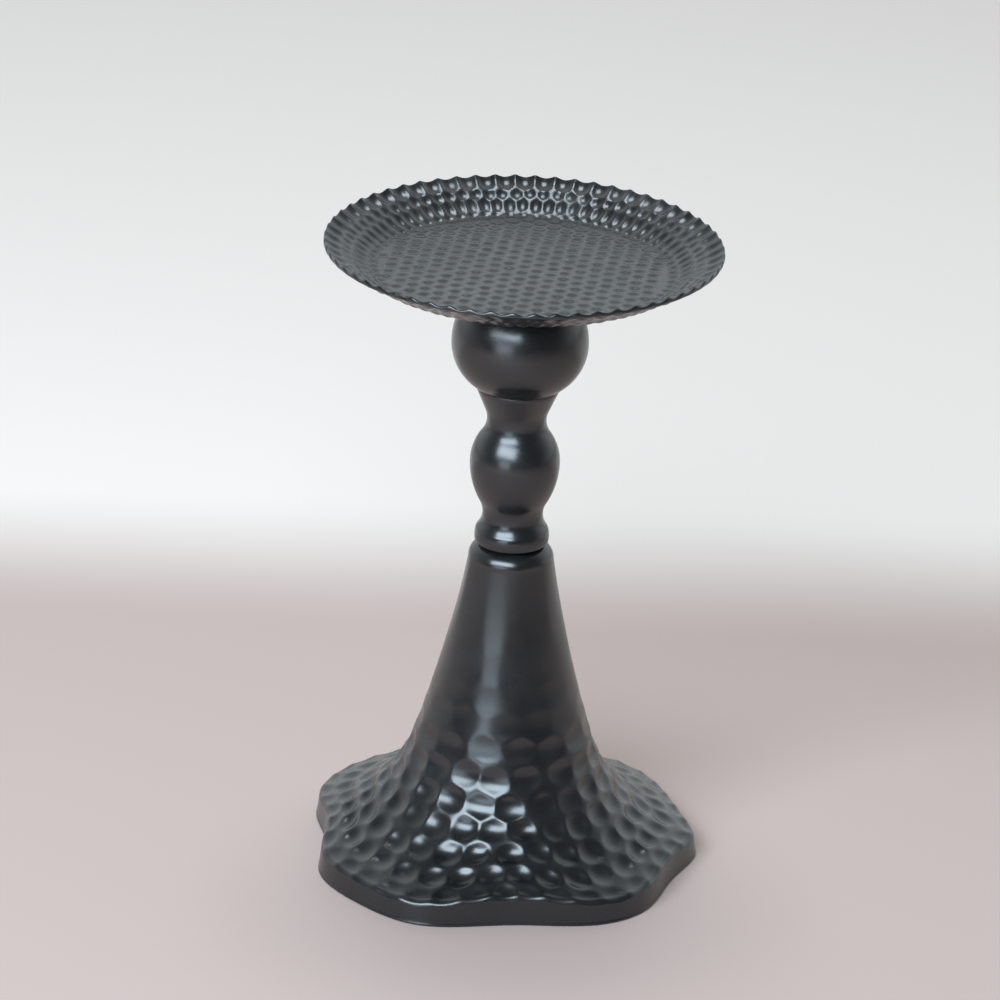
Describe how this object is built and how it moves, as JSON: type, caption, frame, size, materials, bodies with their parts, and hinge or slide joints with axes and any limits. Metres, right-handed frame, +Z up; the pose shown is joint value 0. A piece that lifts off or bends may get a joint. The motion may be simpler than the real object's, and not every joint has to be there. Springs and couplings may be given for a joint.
{
  "type": "candle stand",
  "caption": "Black metal candle stand: a hammered drip tray with a scalloped rim on a turned stem and a hollow hammered bell foot, drawn together by a tie rod; holds a pillar candle.",
  "frame": {"origin": "on the floor, where the upright axis of the stem meets it", "axes": "+Z up along the stem; -Y towards the viewer of the picture, +X to the viewer's right"},
  "size_m": [0.1324, 0.1303, 0.2182],
  "materials": {
    "hammered_black_paint": "satin black paint over hammered sheet",
    "smooth_black_paint": "satin black paint over turned metal",
    "zinc_plate": "bright zinc plate"
  },
  "bodies": {
    "root": {"drip_tray": "hammered_black_paint", "tray_weld_nut": "smooth_black_paint", "bulb": "smooth_black_paint", "baluster": "smooth_black_paint", "base_bell": "hammered_black_paint", "tie_rod": "zinc_plate", "clamp_washer": "zinc_plate", "spring_washer": "zinc_plate", "hex_nut": "zinc_plate"}
  },
  "joints": []
}
